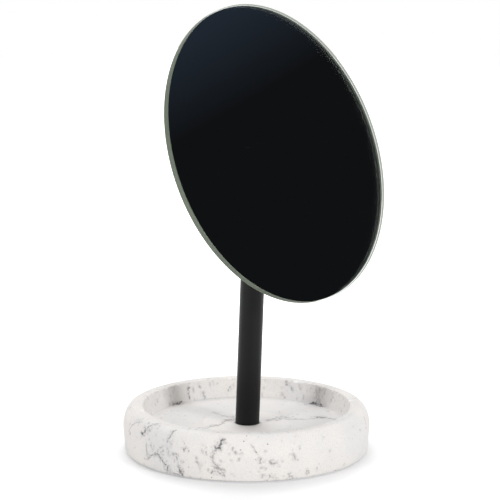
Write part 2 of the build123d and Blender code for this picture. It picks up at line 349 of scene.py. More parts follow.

# %% [markdown]
# ## Veins
#
# Grey veins run through the stone like pencil strokes. A line painted on the points would be at least as
# wide as the grid's squares, and ragged. A signed distance does better: it is measured from each point to
# the stroke, negative on one side and positive on the other, and it stays true when Blender blends it
# between points, so the material can draw a line that is thinner than a square. Each stroke also gets a
# strength, which fades at its ends. The strokes are listed as an angle round the tray in degrees and a
# height or a distance from the middle in millimetres. A spot is a very short upright stroke. Fainter
# flecks gather beside the strong strokes, and chance places those.
# A few of the strokes are not veins but painted shade: dark lines where the dish's wall meets its floor, and
# a wide faint stroke that deepens the post's shadow on the wall.

# %% Places on the tray
def place_at(angle, radius, height):
    """A point in that direction from the middle, in degrees, and that far from it."""
    return [radius * math.cos(math.radians(angle)), radius * math.sin(math.radians(angle)), height]


def on_side(angle, height):
    """A point on the outside of the tray."""
    rise = max(0.0, height - shoulder_start) / shoulder_height
    radius = rim[0] + shoulder_width * math.sqrt(max(0.0, 1 - rise ** 2))
    if height < shoulder_start:
        radius -= side_draft * (shoulder_start - height) / (shoulder_start - pad_thickness)
    return place_at(angle, radius, height)


def on_wall_at(angle, height):
    """A point on the wall inside the dish."""
    return place_at(angle, floor_radius + wall_draft * (height - floor_height) / dish_depth, height)


def on_floor(angle, radius):
    """A point on the floor of the dish."""
    return place_at(angle, radius, floor_height)


print("A point of the side:", [round(place, 1) for place in on_side(180, 10)])

# %% Strokes
# Each stroke: the surface that it runs on, its half width in mm, its strength, and its points.
strokes = [
    (on_side, 0.75, 0.90, [(165.5, 23.2), (167.0, 22.6), (168.5, 25.4)]),
    (on_side, 0.38, 0.55, [(168.5, 25.4), (169.8, 28.4), (172.1, 30.2), (174.0, 30.8)]),
    (on_side, 0.35, 0.40, [(152.2, 19.5), (155.3, 24.4), (159.3, 27.9)]),
    (on_side, 0.38, 0.65, [(183.9, 22.4), (184.3, 25.3), (185.4, 28.2), (186.3, 30.2)]),
    (on_side, 0.38, 0.50, [(177.8, 13.2), (178.8, 15.8), (181.0, 19.0)]),
    (on_side, 0.45, 0.70, [(170.8, 7.2), (172.2, 9.4), (174.8, 11.2), (177.8, 13.2)]),
    (on_side, 0.42, 0.75, [(177.8, 13.2), (180.0, 10.2), (181.8, 8.0), (184.0, 6.2)]),
    (on_side, 0.90, 0.90, [(184.0, 6.2), (184.0, 3.6)]),
    (on_side, 0.50, 0.45, [(184.5, 3.0), (187.0, 2.6), (190.0, 2.2)]),
    (on_side, 0.50, 0.40, [(170.8, 7.2), (170.2, 10.4), (170.5, 17.4)]),
    (on_side, 0.55, 0.45, [(173.8, 19.0), (174.0, 16.4)]),
    (on_side, 0.50, 0.60, [(189.2, 16.0), (189.2, 12.0)]),
    (on_side, 0.45, 0.35, [(189.2, 12.0), (190.2, 7.4)]),
    (on_side, 0.60, 0.85, [(190.2, 7.4), (190.8, 4.8), (192.0, 1.8)]),
    (on_side, 0.60, 0.50, [(198.8, 14.2), (199.8, 12.0)]),
    (on_side, 0.45, 0.40, [(199.8, 12.0), (201.0, 6.8)]),
    (on_side, 1.05, 0.90, [(211.6, 28.2), (210.4, 26.4), (209.6, 24.4), (208.6, 22.6)]),
    (on_side, 0.70, 0.50, [(208.2, 22.2), (207.0, 17.6), (206.9, 13.2)]),
    (on_side, 0.70, 0.60, [(206.9, 13.2), (208.8, 10.6), (212.0, 8.6)]),
    (on_side, 0.60, 0.60, [(209.2, 8.0), (210.5, 6.0), (212.2, 4.8)]),
    (on_side, 0.50, 0.45, [(224.1, 25.5), (226.5, 20.3)]),
    (on_side, 0.70, 0.55, [(227.2, 17.2), (228.2, 13.8)]),
    (on_side, 0.60, 0.60, [(232.2, 15.0), (232.8, 12.8)]),
    (on_side, 0.60, 0.60, [(233.8, 13.4), (235.2, 13.0)]),
    (on_side, 0.60, 0.55, [(243.6, 17.1), (243.7, 14.4)]),
    (on_side, 0.45, 0.45, [(241.0, 5.2), (241.2, 1.4)]),
    (on_side, 0.60, 0.70, [(249.8, 5.3), (250.6, 4.4)]),
    (on_side, 0.35, 0.35, [(296.6, 27.0), (295.0, 20.2)]),
    (on_floor, 1.50, 0.70, [(100.0, 10.5), (109.0, 13.6), (114.0, 14.0)]),
    (on_floor, 0.45, 0.60, [(114.0, 14.0), (131.5, 16.4), (143.4, 16.2)]),
    (on_floor, 0.45, 0.60, [(143.4, 16.2), (156.5, 21.5), (157.3, 26.3)]),
    (on_floor, 1.60, 0.50, [(152.0, 22.0), (156.0, 25.5)]),
    (on_floor, 0.45, 0.45, [(159.0, 27.6), (162.0, 30.9), (155.6, 34.9)]),
    (on_floor, 0.60, 0.60, [(116.0, 13.2), (121.0, 13.8)]),
    (on_floor, 0.60, 0.55, [(80.0, 16.8), (74.0, 15.8)]),
    (on_floor, 0.90, 0.30, [(83.9, 34.2), (86.5, 23.7), (80.6, 12.4)]),
    (on_floor, 1.90, 0.35, [(-30.0, 14.0), (-30.0, 17.5), (-25.0, 20.5)]),
    (on_floor, 1.40, 0.35, [(-25.0, 20.5), (-17.5, 26.0), (-20.0, 29.5), (-28.0, 30.5)]),
    (on_floor, 0.90, 0.65, [(-24.0, 15.2), (-29.5, 16.0)]),
    (on_floor, 0.80, 0.60, [(-23.0, 20.4), (-27.0, 20.4)]),
    (on_floor, 0.70, 0.55, [(-35.0, 21.0), (-38.5, 21.6)]),
    (on_floor, 0.80, 0.60, [(-27.0, 24.2), (-30.5, 24.6)]),
    (on_floor, 0.70, 0.55, [(-25.5, 28.2), (-28.5, 28.6)]),
    (on_floor, 0.70, 0.50, [(-33.5, 29.0), (-36.0, 29.6)]),
    (on_floor, 0.38, 0.60, [(-33.0, 31.8), (-37.8, 39.8), (-37.2, 46.1), (-33.9, 51.4)]),
    (on_floor, 1.40, 0.75, [(-34.3, 49.6), (-33.4, 52.0), (-35.6, 54.5)]),
    (on_floor, 0.38, 0.55, [(-35.6, 54.5), (-39.1, 57.9), (-40.5, 61.5)]),
    (on_wall_at, 0.60, 0.65, [(77.9, 27.3), (78.9, 19.7)]),
    (on_wall_at, 0.70, 0.45, [(71.1, 27.0), (70.1, 26.2)]),
    (on_wall_at, 0.60, 0.50, [(68.5, 22.7), (68.0, 18.6)]),
    (on_wall_at, 0.60, 0.40, [(51.7, 25.1), (52.8, 22.0)]),
    # Painted shade: a dark line at the foot of the wall on the left, under the post's shadow.
    (on_wall_at, 0.80, 0.80, [(92.4, 18.4), (89.9, 18.2), (84.5, 18.2)]),
    # Painted shade: the next two strokes darken the corner where the wall meets the floor on the right, and
    # flecks are drawn beside the floor one.
    (on_wall_at, 0.60, 0.95, [(-1.8, 18.2), (-6.0, 18.6), (-9.5, 18.4)]),
    (on_floor, 0.70, 0.90, [(-0.5, 66.3), (-6.0, 66.5), (-11.0, 66.4)]),
    # Painted shadow: a wide faint stroke that deepens the post's shadow on the wall at the right.
    (on_wall_at, 2.40, 0.28, [(-6.5, 19.5), (-5.0, 27.0)]),
    (on_wall_at, 0.60, 0.50, [(18.0, 30.2), (17.1, 27.6)]),
    (on_wall_at, 0.60, 0.45, [(14.5, 26.8), (13.5, 23.8)]),
    (on_wall_at, 0.70, 0.40, [(20.3, 21.4), (17.7, 18.6)]),
]
print("Strokes placed by hand:", len(strokes))

# %% Spots
# Each spot: its angle, its height and its strength.
spots = [
    (154.4, 18.7, 0.45), (160.5, 28.8, 0.50), (181.5, 16.0, 0.55), (185.0, 15.8, 0.60), (187.3, 15.5, 0.55),
    (193.2, 19.6, 0.65), (202.0, 20.5, 0.50), (204.0, 19.4, 0.55), (206.5, 7.1, 0.85), (216.0, 23.0, 0.45),
    (217.1, 20.5, 0.55), (218.8, 16.4, 0.45), (228.8, 5.1, 0.50), (232.2, 4.7, 0.55), (235.0, 2.4, 0.60),
    (242.7, 2.7, 0.65), (245.9, 22.0, 0.45), (255.3, 5.8, 0.40),
]
spot_half_width, spot_half_height = 0.55, 0.7
for angle, height, strength in spots:
    ends = [(angle, height + spot_half_height), (angle, height - spot_half_height)]
    strokes.append((on_side, spot_half_width, strength, ends))
print("Spots:", len(spots))

# %% Flecks
strong, fleck_spread, fleck_reach = 0.45, 1.9, 0.5
lowest_fleck, highest_fleck = 2.0, 29.5


def flecks_beside(surface, strength, places):
    """Short faint strokes near the points of a stroke, two for each."""
    flecks = []
    for _ in range(2 * len(places)):
        angle, place = random.normal(places[random.integers(len(places))], fleck_spread)
        if surface is on_side:
            place = min(max(place, lowest_fleck), highest_fleck)
        turned_by, moved = random.normal(0, fleck_reach, 2)
        half_width = random.uniform(0.25, 0.55)
        faint = strength * random.uniform(0.25, 0.65)
        flecks.append((surface, half_width, faint, [(angle, place), (angle + turned_by, place + moved)]))
    return flecks


for surface, half_width, strength, places in strokes[:]:
    if surface is not on_wall_at and strength > strong:
        strokes += flecks_beside(surface, strength, places)
print("Strokes with spots and flecks:", len(strokes))

# %% Distance to the nearest stroke
far_off, reach_in_widths, reach_beyond, end_fade = 9.0, 5, 1.5, 0.6
side_of_vein_and_shade = np.full(len(points), far_off)
vein_and_shade_strength = np.zeros(len(points))
nearest_stroke = np.full(len(points), math.inf)
for surface, half_width, strength, places in strokes:
    line = np.array([surface(*place) for place in places])
    reach = reach_in_widths * half_width + reach_beyond
    for start, end in zip(line, line[1:]):
        run = end - start
        length = np.linalg.norm(run)
        run /= length
        near = np.linalg.norm(points - (start + end) / 2, axis=1) < length / 2 + reach
        away = points[near] - start
        along = away @ run
        over = np.maximum(np.maximum(-along, along - length), 0)
        side = np.einsum("ij,ij->i", np.cross(np.broadcast_to(run, away.shape), away), normals[near])
        distance = np.hypot(side, over) / half_width
        fade = strength * np.clip(1 - over / (half_width + end_fade), 0, 1)
        fade *= np.clip(reach / half_width - distance, 0, 1)
        better = distance < nearest_stroke[near]
        chosen = np.flatnonzero(near)[better]
        nearest_stroke[chosen] = distance[better]
        side_of_vein_and_shade[chosen] = side[better] / half_width
        vein_and_shade_strength[chosen] = fade[better]
print("Points that carry a vein:", int((vein_and_shade_strength > 0.05).sum()))

# %% Make the tray's mesh
ring_starts = np.arange(ring_count)[:, None] * around
corners = np.stack([
    ring_starts + np.arange(around),
    np.roll(ring_starts, -1, 0) + np.arange(around),
    np.roll(ring_starts, -1, 0) + (np.arange(around) + 1) % around,
    ring_starts + (np.arange(around) + 1) % around,
], 2).reshape(-1, 4)
tray_mesh = bpy.data.meshes.new("cast_stone_tray")
tray_mesh.from_pydata((points * MM).tolist(), [], corners.tolist())
inside = np.where(on_wall & (seen > 0), 1.0, 0.0)
# The dish's floor, where the stone gets painted shade.
floor_shade_area = np.where((seen > 0) & (radii_out < floor_radius), 1.0, 0.0)
for name, values in (("pit", pit), ("chip", chip), ("inside", inside), ("floor_shade_area", floor_shade_area),
                     ("vein_and_shade_side", side_of_vein_and_shade), ("vein_and_shade_strength", vein_and_shade_strength)):
    tray_mesh.attributes.new(name, "FLOAT", "POINT").data.foreach_set("value", values.astype(np.float32))
tray_mesh.polygons.foreach_set("use_smooth", [True] * len(tray_mesh.polygons))
tray_mesh.update()
tray = bpy.data.objects.new("cast_stone_tray", tray_mesh)
bpy.context.scene.collection.objects.link(tray)
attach(tray, "stand")
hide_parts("tray")
floor_face = tray_mesh.polygons[first_seen * around]
print("Faces:", len(tray_mesh.polygons), "- the floor's face", "up" if floor_face.normal.z > 0 else "down")

# %% [markdown]
# ## Cast stone
#
# The tray is cast from white cement and marble flour, then ground and left matt. That gives the eye a
# chalky off-white that is never quite even: clouds a few centimetres wide that are a little warmer or
# cooler, a salt of marble grains, pinholes about a millimetre wide, and grey veins. The floor of the dish
# is painted a little greyer than the rest, as painted shade. Real grains are mostly too fine for this
# picture, so they are drawn 0.8 mm wide. The pinholes are too small for the mesh, so a Voronoi pattern
# darkens them with painted shade and a Bump node sinks them. Roughness is high, because a ground surface
# scatters light. The colours are laid over each other, one Mix node at a time: clouds, the floor's painted
# shade, grains, pinholes, pits, chips and last the veins and a few strokes of painted shade.

# %% Cast stone: clouds, painted shade on the dish's floor, and grains
stone, tree, shader, millimetres = start_material(
    "cast_stone_ground_matt", Roughness=0.78, Specular_IOR_Level=0.35,
)
cloud_width, grain_width, floor_painted_shade = 30.0, 0.8, 0.4

clouds = add_node(tree, "TexNoise", {"Vector": millimetres, "Scale": 1 / cloud_width, "Detail": 3.0})
cloudy = add_node(tree, "MapRange", {"Value": clouds.outputs[0], "From Min": 0.38, "From Max": 0.66})
body = add_node(tree, "Mix", {
    FACTOR: cloudy.outputs[0], FIRST: linear("#F0ECE8"), SECOND: linear("#E9E7E6"),
}, data_type="RGBA")

# Painted shade: the floor of the dish is mixed towards grey.
floor_shade_mask = add_node(tree, "Attribute", attribute_name="floor_shade_area")
floor_shade_amount = add_node(tree, "Math", {
    0: floor_shade_mask.outputs["Fac"], 1: floor_painted_shade,
}, operation="MULTIPLY")
floor_shaded = add_node(tree, "Mix", {
    FACTOR: floor_shade_amount.outputs[0], FIRST: body.outputs[MIXED], SECOND: linear("#DEDDDD"),
}, data_type="RGBA")

grains = add_node(tree, "TexNoise", {"Vector": millimetres, "Scale": 1 / grain_width, "Detail": 3.0})
grainy = add_node(tree, "MapRange", {
    "Value": grains.outputs[0], "From Min": 0.50, "From Max": 0.70, "To Max": 0.45,
})
salted = add_node(tree, "Mix", {
    FACTOR: grainy.outputs[0], FIRST: floor_shaded.outputs[MIXED], SECOND: linear("#D2CECB"),
}, data_type="RGBA")

# %% Cast stone: pinholes with painted shade, that gather in places, stretched upwards on the wall
gathering_width, pinhole_spacing = 21.0, 3.2
gathering = add_node(tree, "TexNoise", {"Vector": millimetres, "Scale": 1 / gathering_width, "Detail": 2.0})
gathered = add_node(tree, "MapRange", {
    "Value": gathering.outputs[0], "From Min": 0.40, "From Max": 0.62, "To Min": 0.55, "To Max": 1.25,
})
inner = add_node(tree, "Attribute", attribute_name="inside")
upright = add_node(tree, "MapRange", {"Value": inner.outputs["Fac"], "To Min": 1.0, "To Max": 0.42})
squeeze = add_node(tree, "CombineXYZ", {0: 1.0, 1: 1.0, 2: upright.outputs[0]})
stretched = add_node(tree, "VectorMath", {0: millimetres, 1: squeeze.outputs[0]}, operation="MULTIPLY")
pinholes = add_node(tree, "TexVoronoi", {"Vector": stretched.outputs[0], "Scale": 1 / pinhole_spacing})
lot = add_node(tree, "SeparateColor", {0: pinholes.outputs["Color"]})
hole_size = add_node(tree, "MapRange", {
    "Value": lot.outputs[0], "From Min": 0.40, "From Max": 1.0, "To Min": 0.0, "To Max": 0.24,
})
hole_reach = add_node(tree, "Math", {0: hole_size.outputs[0], 1: gathered.outputs[0]}, operation="MULTIPLY")
hole = add_node(tree, "MapRange", {
    "Value": pinholes.outputs["Distance"], "From Min": hole_reach.outputs[0], "From Max": 0.0,
    "To Min": 0.0, "To Max": 1.0,
}, interpolation_type="SMOOTHSTEP")
# Painted shade: the pinholes are darkened towards grey, for the shade inside a hole.
pinholes_shaded = add_node(tree, "Mix", {
    FACTOR: hole.outputs[0], FIRST: salted.outputs[MIXED], SECOND: linear("#7E7C7B"),
}, data_type="RGBA")
print("Pinholes gather in places", gathering_width, "mm wide,", pinhole_spacing, "mm apart")

# %% Cast stone: pits and chips
# A pit is darkened for the dust in it and with painted shade.
pitted = add_node(tree, "Attribute", attribute_name="pit")
dust_and_shade = add_node(tree, "MapRange", {
    "Value": pitted.outputs["Fac"], "From Min": 0.1, "From Max": 0.8, "To Max": 0.5,
})
shaded = add_node(tree, "Mix", {
    FACTOR: dust_and_shade.outputs[0], FIRST: pinholes_shaded.outputs[MIXED], SECOND: linear("#989694"),
}, data_type="RGBA")

chipped = add_node(tree, "Attribute", attribute_name="chip")
fresh = add_node(tree, "MapRange", {
    "Value": chipped.outputs["Fac"], "From Min": 0.1, "From Max": 0.7, "To Max": 0.9,
})
broken_white = add_node(tree, "Mix", {
    FACTOR: fresh.outputs[0], FIRST: shaded.outputs[MIXED], SECOND: linear("#FBF8F5"),
}, data_type="RGBA")
print("Deepest pit and chip, mm:", round(float(pit.max()), 2), round(float(chip.max()), 2))

# %% Cast stone: veins and strokes of painted shade, as a wavering line with a pale cloud round it, broken up
wobble_width, wobble_reach, break_width = 2.6, 3.4, 1.5
side = add_node(tree, "Attribute", attribute_name="vein_and_shade_side")
strength = add_node(tree, "Attribute", attribute_name="vein_and_shade_strength")
wobble = add_node(tree, "TexNoise", {"Vector": millimetres, "Scale": 1 / wobble_width, "Detail": 4.0})
shift = add_node(tree, "MapRange", {
    "Value": wobble.outputs[0], "To Min": -wobble_reach, "To Max": wobble_reach,
})
wandering = add_node(tree, "Math", {0: side.outputs["Fac"], 1: shift.outputs[0]}, operation="ADD")
off_line = add_node(tree, "Math", {0: wandering.outputs[0]}, operation="ABSOLUTE")
line = add_node(tree, "MapRange", {
    "Value": off_line.outputs[0], "From Min": 1.5, "From Max": 0.4,
}, interpolation_type="SMOOTHSTEP")
cloud = add_node(tree, "MapRange", {
    "Value": off_line.outputs[0], "From Min": 4.0, "From Max": 0.0, "To Max": 0.4,
}, interpolation_type="SMOOTHSTEP")
both = add_node(tree, "Math", {0: line.outputs[0], 1: cloud.outputs[0]}, operation="MAXIMUM")
patches = add_node(tree, "TexNoise", {"Vector": millimetres, "Scale": 1 / break_width, "Detail": 3.0})
broken = add_node(tree, "MapRange", {
    "Value": patches.outputs[0], "From Min": 0.36, "From Max": 0.56, "To Min": 0.35,
})
faded = add_node(tree, "Math", {0: both.outputs[0], 1: broken.outputs[0]}, operation="MULTIPLY")
vein_and_shade = add_node(tree, "Math", {0: faded.outputs[0], 1: strength.outputs["Fac"]}, operation="MULTIPLY")
veined_and_shaded = add_node(tree, "Mix", {
    FACTOR: vein_and_shade.outputs[0], FIRST: broken_white.outputs[MIXED], SECOND: linear("#34353C"),
}, data_type="RGBA")
print("The veins waver in waves", wobble_width, "mm wide")

# %% Cast stone: relief, in millimetres
grain_relief, hole_relief, vein_relief = 0.06, -0.22, -0.10
raised = add_node(tree, "Math", {0: grains.outputs[0], 1: grain_relief}, operation="MULTIPLY")
sunk = add_node(tree, "Math", {
    0: hole.outputs[0], 1: hole_relief, 2: raised.outputs[0],
}, operation="MULTIPLY_ADD")
cut = add_node(tree, "Math", {
    0: vein_and_shade.outputs[0], 1: vein_relief, 2: sunk.outputs[0],
}, operation="MULTIPLY_ADD")
relief = add_node(tree, "Bump", {"Height": cut.outputs[0], "Distance": MM})
link_finish(tree, shader, veined_and_shaded, relief=relief)
tray_mesh.materials.append(stone)
print("Nodes in the stone:", len(tree.nodes))

# %% [markdown]
# ## Powder coat
#
# The post, the bracket and the back plate are steel with a black powder coat, a plastic powder that is
# sprayed on and baked. It gives the eye a soft satin black with a very fine orange peel. The real peel is
# about a third of a millimetre wide, which is finer than the picture shows, so it only breaks up the
# reflections. A coat is about a tenth of a millimetre thick, and a Displace modifier adds that to the post,
# the one coated piece that is seen from the front. The others keep their bare size, because they touch
# their neighbours.

# %% Powder coat material
powder, tree, shader, millimetres = start_material("powder_coat_satin_black", Specular_IOR_Level=0.15)
peel_width = 0.35
peel = add_node(tree, "TexNoise", {"Vector": millimetres, "Scale": 1 / peel_width, "Detail": 2.0})
tone = add_node(tree, "Mix", {
    FACTOR: peel.outputs[0], FIRST: linear("#111112"), SECOND: linear("#1A1A1B"),
}, data_type="RGBA")
satin = add_node(tree, "MapRange", {"Value": peel.outputs[0], "To Min": 0.36, "To Max": 0.46})
relief = add_node(tree, "Bump", {"Height": peel.outputs[0], "Distance": 0.02 * MM})
link_finish(tree, shader, tone, satin, relief)

# %% The coat's thickness on the post
coat_thickness = 0.12 * MM
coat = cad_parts["post_tube"].modifiers.new("powder_coat", "DISPLACE")
coat.strength = coat_thickness
coat.mid_level = 0.0
print("Coat on the post, mm:", coat_thickness / MM)

# %% [markdown]
# ## Zinc-plated steel
#
# The bolt, the washer, the rivets, the spring, the screw and its nut are plated with zinc, a grey metal
# with a faint blue cast. Plating follows the turned or stamped steel under it, so it is brighter and duller
# in small patches.

# %% Zinc material
zinc, tree, shader, millimetres = start_material("zinc_plated_steel", Metallic=1.0)
patch_width = 0.6
spangle = add_node(tree, "TexNoise", {"Vector": millimetres, "Scale": 1 / patch_width, "Detail": 3.0})
tone = add_node(tree, "Mix", {
    FACTOR: spangle.outputs[0], FIRST: linear("#A7AAB0"), SECOND: linear("#C9CBCE"),
}, data_type="RGBA")
dull = add_node(tree, "MapRange", {"Value": spangle.outputs[0], "To Min": 0.28, "To Max": 0.46})
relief = add_node(tree, "Bump", {"Height": spangle.outputs[0], "Distance": 0.01 * MM})
link_finish(tree, shader, tone, dull, relief)

# %% [markdown]
# ## Fibre, nylon and foam
#
# Four small parts are not metal. The friction washers are vulcanised fibre, a brick-red board with visible
# fibres. The locking ring in the nut is moulded nylon, smooth and faintly blue. The pad under the tray and
# the tape behind the glass are foam, matt, with cut cells all over their faces: the tape is black and the
# pad a pale grey, which shows as a thin line under the stone.

# %% Fibre material
fibre, tree, shader, millimetres = start_material("vulcanised_fibre", Roughness=0.7)
strand_length, strand_flatness = 1.2, 6.0
flattened = add_node(tree, "Mapping", {"Vector": millimetres, "Scale": (1.0, 1.0, strand_flatness)})
strands = add_node(tree, "TexNoise", {
    "Vector": flattened.outputs[0], "Scale": 1 / strand_length, "Detail": 4.0,
})
tone = add_node(tree, "Mix", {
    FACTOR: strands.outputs[0], FIRST: linear("#6E2F22"), SECOND: linear("#94503C"),
}, data_type="RGBA")
relief = add_node(tree, "Bump", {"Height": strands.outputs[0], "Distance": 0.03 * MM})
link_finish(tree, shader, tone, relief=relief)

# %% Nylon material
nylon, tree, shader, millimetres = start_material("moulded_nylon", IOR=1.53)
flow_width = 0.9
flow = add_node(tree, "TexNoise", {"Vector": millimetres, "Scale": 1 / flow_width, "Detail": 1.0})
tone = add_node(tree, "Mix", {
    FACTOR: flow.outputs[0], FIRST: linear("#5B7CA8"), SECOND: linear("#7391B8"),
}, data_type="RGBA")
gloss = add_node(tree, "MapRange", {"Value": flow.outputs[0], "To Min": 0.3, "To Max": 0.42})
link_finish(tree, shader, tone, gloss)

# %% Two foams
cell_width = 0.7


def cut_foam(name, roughness, deep, high):
    """Foam that was cut through its cells, with painted shade deep in the cells and a lighter colour on their
    walls.
    """
    material, tree, shader, millimetres = start_material(name, Roughness=roughness, Specular_IOR_Level=0.2)
    cells = add_node(tree, "TexVoronoi", {"Vector": millimetres, "Scale": 1 / cell_width})
    # Painted shade: the colour deep in each cell is the darker one.
    tone = add_node(tree, "Mix", {
        FACTOR: cells.outputs["Distance"], FIRST: linear(deep), SECOND: linear(high),
    }, data_type="RGBA")
    relief = add_node(tree, "Bump", {"Height": cells.outputs["Distance"], "Distance": 0.12 * MM})
    link_finish(tree, shader, tone, relief=relief)
    return material


foam = cut_foam("cut_foam_black", 0.92, "#17181A", "#34363A")
pad_foam = cut_foam("cut_foam_pale", 0.9, "#D6D6D7", "#E4E4E5")

# %% Dress the nodes that keep their CAD shape
finish_of = {
    powder: ("post_tube", "post_head", "tilt_bracket", "back_plate"),
    zinc: ("base_bolt", "base_washer", "post_foot_insert", "bracket_rivets", "pivot_screw", "disc_spring",
           "lock_nut"),
    fibre: ("friction_washers",),
    nylon: ("nut_ring",),
    foam: ("mounting_tape",),
    pad_foam: ("base_pad",),
}
for finish, names in finish_of.items():
    for name in names:
        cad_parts[name].data.materials.clear()
        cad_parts[name].data.materials.append(finish)
print("Dressed nodes:", sum(len(names) for names in finish_of.values()))

# %% [markdown]
# ## The glass and its silver
#
# A mirror is a sheet of float glass with a film of silver behind it, sealed by black paint. Both pieces
# keep their CAD shape, but each has two finishes, so they are shown by copies whose faces can take a
# material each: the glass has polished faces and a ground edge, and the backing is silver on the side that
# touches the glass and paint on the rest. Whether a face belongs to the front is read from its normal. The
# ground edge is matt and lets some light through. From outside it is a grey green. On the far side of the
# mirror it is seen from inside the glass, where the light that comes through it makes a pale line, so the
# Backfacing output picks another shader there. The glass copy reaches a hair into the silver, because a gap
# of air between them would add reflections that a mirror doesn't have.

# %% Copies with two finishes
mirror_tilt = math.radians(20.2)
facing = Vector((0, -math.cos(mirror_tilt), math.sin(mirror_tilt)))
# A face is front or back if its normal lies this near the way that the mirror faces, where 1 is the same way.
flat_on = 0.95


def two_finishes(node, name, first, second, takes_first):
    """Show a CAD node by a copy, whose faces take the first finish where takes_first says so."""
    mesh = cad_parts[node].data.copy()
    mesh.name = name
    mesh.materials.clear()
    mesh.materials.append(first)
    mesh.materials.append(second)
    choices = [0 if takes_first(face.normal) else 1 for face in mesh.polygons]
    mesh.polygons.foreach_set("material_index", choices)
    copy = bpy.data.objects.new(name, mesh)
    bpy.context.scene.collection.objects.link(copy)
    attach(copy, "mirror")
    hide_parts(node)
    print(name, "- faces with the first finish:", choices.count(0))
    return copy


print("The mirror leans back", round(math.degrees(mirror_tilt), 1), "degrees")

# %% Polished glass
polished, tree, shader, millimetres = start_material(
    "float_glass_polished", IOR=1.52, Transmission_Weight=1.0,
)
smear_width = 22.0
smears = add_node(tree, "TexNoise", {"Vector": millimetres, "Scale": 1 / smear_width, "Detail": 3.0})
wiped = add_node(tree, "MapRange", {
    "Value": smears.outputs[0], "From Min": 0.4, "To Min": 0.0, "To Max": 0.02,
})
tint = add_node(tree, "Mix", {
    FACTOR: smears.outputs[0], FIRST: linear("#F7FBF9"), SECOND: linear("#FAFCFB"),
}, data_type="RGBA")
link_finish(tree, shader, tint, wiped)

# %% Ground edge
ground, tree, shader, millimetres = start_material("float_glass_ground_edge", Roughness=0.3, IOR=1.52)
see_through, grinding_width = 0.4, 1.4
grinding = add_node(tree, "TexNoise", {"Vector": millimetres, "Scale": 1 / grinding_width, "Detail": 3.0})
tone = add_node(tree, "Mix", {
    FACTOR: grinding.outputs[0], FIRST: linear("#78846F"), SECOND: linear("#949E8E"),
}, data_type="RGBA")
link_finish(tree, shader, tone)
inside_glass = add_node(tree, "NewGeometry").outputs["Backfacing"]
frosted = add_node(tree, "BsdfTranslucent", {"Color": linear("#7A8076")})
matt = add_node(tree, "MixShader", {0: inside_glass, 1: shader.outputs[0], 2: frosted.outputs[0]})
clear = add_node(tree, "Mix", {
    FACTOR: inside_glass, FIRST: linear("#EEF0E8"), SECOND: linear("#B4B6B0"),
}, data_type="RGBA")
through = add_node(tree, "BsdfTransparent", {"Color": clear.outputs[MIXED]})
edge = add_node(tree, "MixShader", {0: 1 - see_through, 1: through.outputs[0], 2: matt.outputs[0]})
tree.links.new(edge.outputs[0], tree.nodes["Material Output"].inputs["Surface"])

# %% Dress the glass
glass = two_finishes("mirror_glass", "float_glass_disc", polished, ground,
                     lambda normal: abs(normal.dot(facing)) > flat_on)
hair = 0.02 * MM
rearmost = min(vertex.co.dot(facing) for vertex in glass.data.vertices)
for vertex in glass.data.vertices:
    if vertex.co.dot(facing) < rearmost + hair:
        vertex.co -= hair * facing

# %% Silver film
silver, tree, shader, millimetres = start_material("silver_film", Metallic=1.0)
haze_width = 35.0
haze = add_node(tree, "TexNoise", {"Vector": millimetres, "Scale": 1 / haze_width, "Detail": 2.0})
misty = add_node(tree, "MapRange", {
    "Value": haze.outputs[0], "From Min": 0.45, "To Min": 0.0, "To Max": 0.012,
})
tone = add_node(tree, "Mix", {
    FACTOR: haze.outputs[0], FIRST: linear("#EFF0F0"), SECOND: linear("#F3F4F4"),
}, data_type="RGBA")
link_finish(tree, shader, tone, misty)

# %% Backing paint
paint, tree, shader, millimetres = start_material("mirror_backing_paint")
roller_mark = 1.6
rolled = add_node(tree, "TexNoise", {"Vector": millimetres, "Scale": 1 / roller_mark, "Detail": 2.0})
tone = add_node(tree, "Mix", {
    FACTOR: rolled.outputs[0], FIRST: linear("#1B1C1E"), SECOND: linear("#2A2B2E"),
}, data_type="RGBA")
sheen = add_node(tree, "MapRange", {"Value": rolled.outputs[0], "To Min": 0.5, "To Max": 0.64})
relief = add_node(tree, "Bump", {"Height": rolled.outputs[0], "Distance": 0.04 * MM})
link_finish(tree, shader, tone, sheen, relief)

# %% Dress the backing
two_finishes("mirror_backing", "silvered_backing", silver, paint,
             lambda normal: normal.dot(facing) > flat_on)

# %% [markdown]
# ## The table and the white surroundings
#
# The object stands on a white table in front of a white wall. Lighting white paper until it clips would
# also wash out the tray, so the white is added only for the rays that look at it: the camera's, and those
# that come off metal or pass through glass. The table is pale and matt and keeps the object's shadow, with
# a glow of its own that lifts the rest to white. The glow grows with the distance from the tray, and faster
# to the left and right of the picture, so that only the soft shadow in front of the tray is left, as in a
# photograph with a cleaned background.

# %% Table
table_size = 6.0
half = table_size / 2
table_corners = [(-half, -half, 0), (half, -half, 0), (half, half, 0), (-half, half, 0)]
table_mesh = bpy.data.meshes.new("table")
table_mesh.from_pydata(table_corners, [], [(0, 1, 2, 3)])
table = bpy.data.objects.new("table", table_mesh)
bpy.context.scene.collection.objects.link(table)
print("The table is", table_size, "m wide")

# %% Paper on the table
paper, tree, shader, millimetres = start_material("table_paper", Roughness=0.9, Specular_IOR_Level=0.1)
unevenness_width = 60.0
uneven = add_node(tree, "TexNoise", {"Vector": millimetres, "Scale": 1 / unevenness_width})
tone = add_node(tree, "Mix", {
    FACTOR: uneven.outputs[0], FIRST: linear("#E5E5E6"), SECOND: linear("#E8E8E8"),
}, data_type="RGBA")
link_finish(tree, shader, tone)


